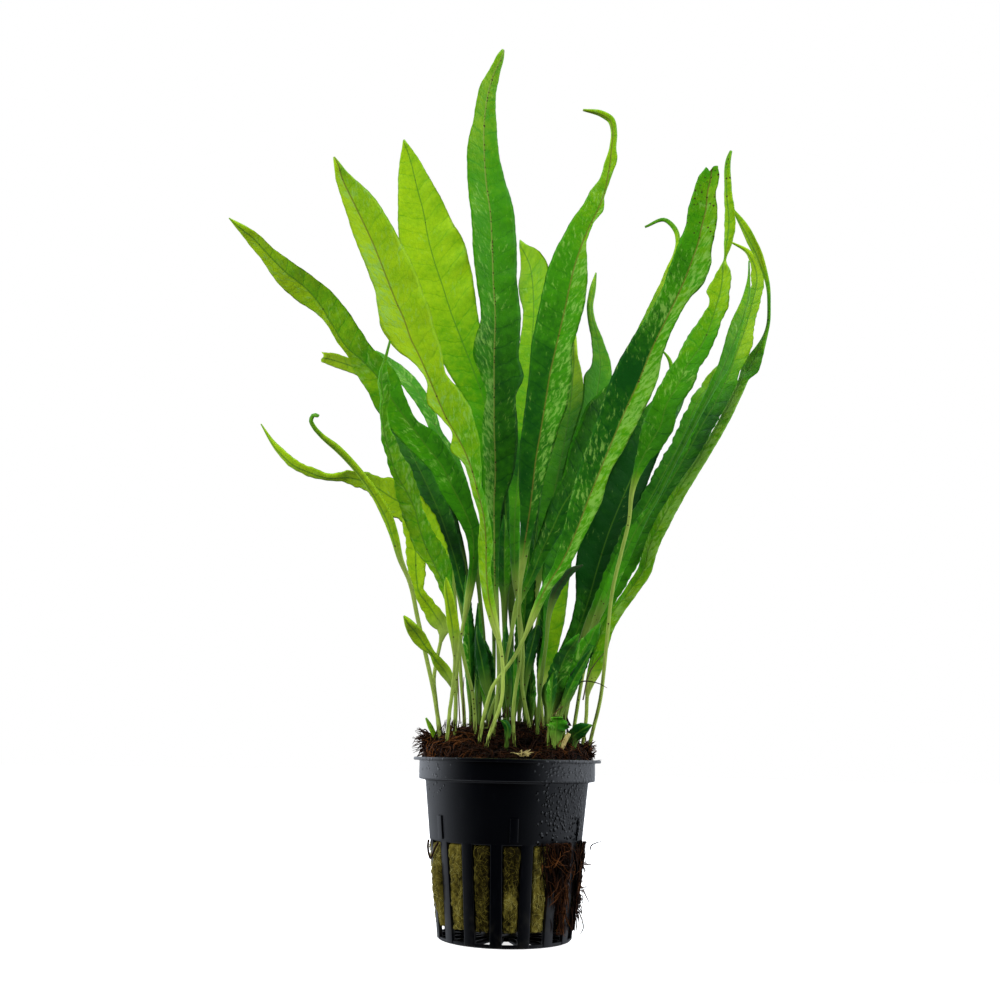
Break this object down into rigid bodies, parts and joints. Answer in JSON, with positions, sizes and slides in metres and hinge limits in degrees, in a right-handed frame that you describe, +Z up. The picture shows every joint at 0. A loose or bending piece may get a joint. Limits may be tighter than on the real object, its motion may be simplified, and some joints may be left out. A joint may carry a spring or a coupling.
{
  "type": "potted java fern",
  "caption": "Narrow-leaved java fern with tall wavy strap fronds on thin stalks, rooted in rock wool in a small slotted net pot.",
  "frame": {"origin": "middle of the pot's underside, on the surface that it stands on", "axes": "+Z up along the pot's axis; -Y towards the front, the side that the picture shows; +X to the right as seen from the front"},
  "size_m": [0.1729, 0.1205, 0.2743],
  "materials": {
    "pot_plastic": "black, satin, moulded",
    "rock_wool": "matt mineral fibre, stained olive",
    "roots": "matt, fine red-brown and black roots",
    "frond_light": "satin, lime green, thin and see-through against light",
    "frond_green": "satin, mid green with dark netted veins",
    "frond_dark": "satin, deep green",
    "frond_wilted": "matt, blackish green, dead",
    "cut_stub": "matt, pale straw with brown spots"
  },
  "bodies": {
    "root": {"net_pot": "pot_plastic", "rock_wool_plug": "rock_wool", "root_mound": "roots", "root_clump_right": "roots", "root_loop_left": "roots", "root_stray_high": "roots", "root_stray_middle": "roots", "root_stray_low": "roots", "root_over_lip": "roots", "root_tuft_left": "roots", "root_tuft_right": "roots", "cut_stub_tall": "cut_stub", "cut_stub_front": "cut_stub", "frond_left_front_leaning": "frond_green", "frond_left_thin_tipped": "frond_green", "frond_left_dark_behind": "frond_dark", "frond_left_low_reaching": "frond_light", "frond_left_hooked_tip": "frond_green", "frond_left_low_light": "frond_light", "frond_left_broken": "frond_light", "frond_left_short_bright": "frond_light", "frond_left_blunt_behind": "frond_light", "frond_left_slim_behind": "frond_green", "frond_front_pale": "frond_light", "frond_broad_lime": "frond_light", "frond_tallest": "frond_green", "frond_behind_tallest": "frond_light", "frond_whip_tipped": "frond_green", "frond_behind_whip_tipped": "frond_light", "frond_centre_spear": "frond_green", "frond_right_torn_tip": "frond_green", "frond_behind_torn_tip": "frond_green", "frond_right_pinched": "frond_green", "frond_right_whip_loop": "frond_light", "frond_right_yellow_green": "frond_light", "frond_right_slim": "frond_green", "frond_right_lobed": "frond_green", "frond_right_curled_tip": "frond_green", "frond_right_dark_behind": "frond_dark", "frond_back_centre": "frond_dark", "frond_back_left": "frond_dark", "frond_back_right": "frond_dark", "frond_back_far_right": "frond_dark", "frond_back_right_low": "frond_dark", "frond_back_far_left": "frond_dark", "young_frond_right": "frond_green", "young_frond_right_low": "frond_green", "young_frond_centre": "frond_dark", "young_frond_middle": "frond_dark", "young_frond_dark_middle": "frond_dark", "frond_wilted": "frond_wilted", "sprout_left": "frond_light", "sprout_left_small": "frond_light", "leaflet_middle": "frond_dark", "leaflet_crumpled": "frond_green", "leaflet_pointed": "frond_dark"}
  },
  "joints": []
}
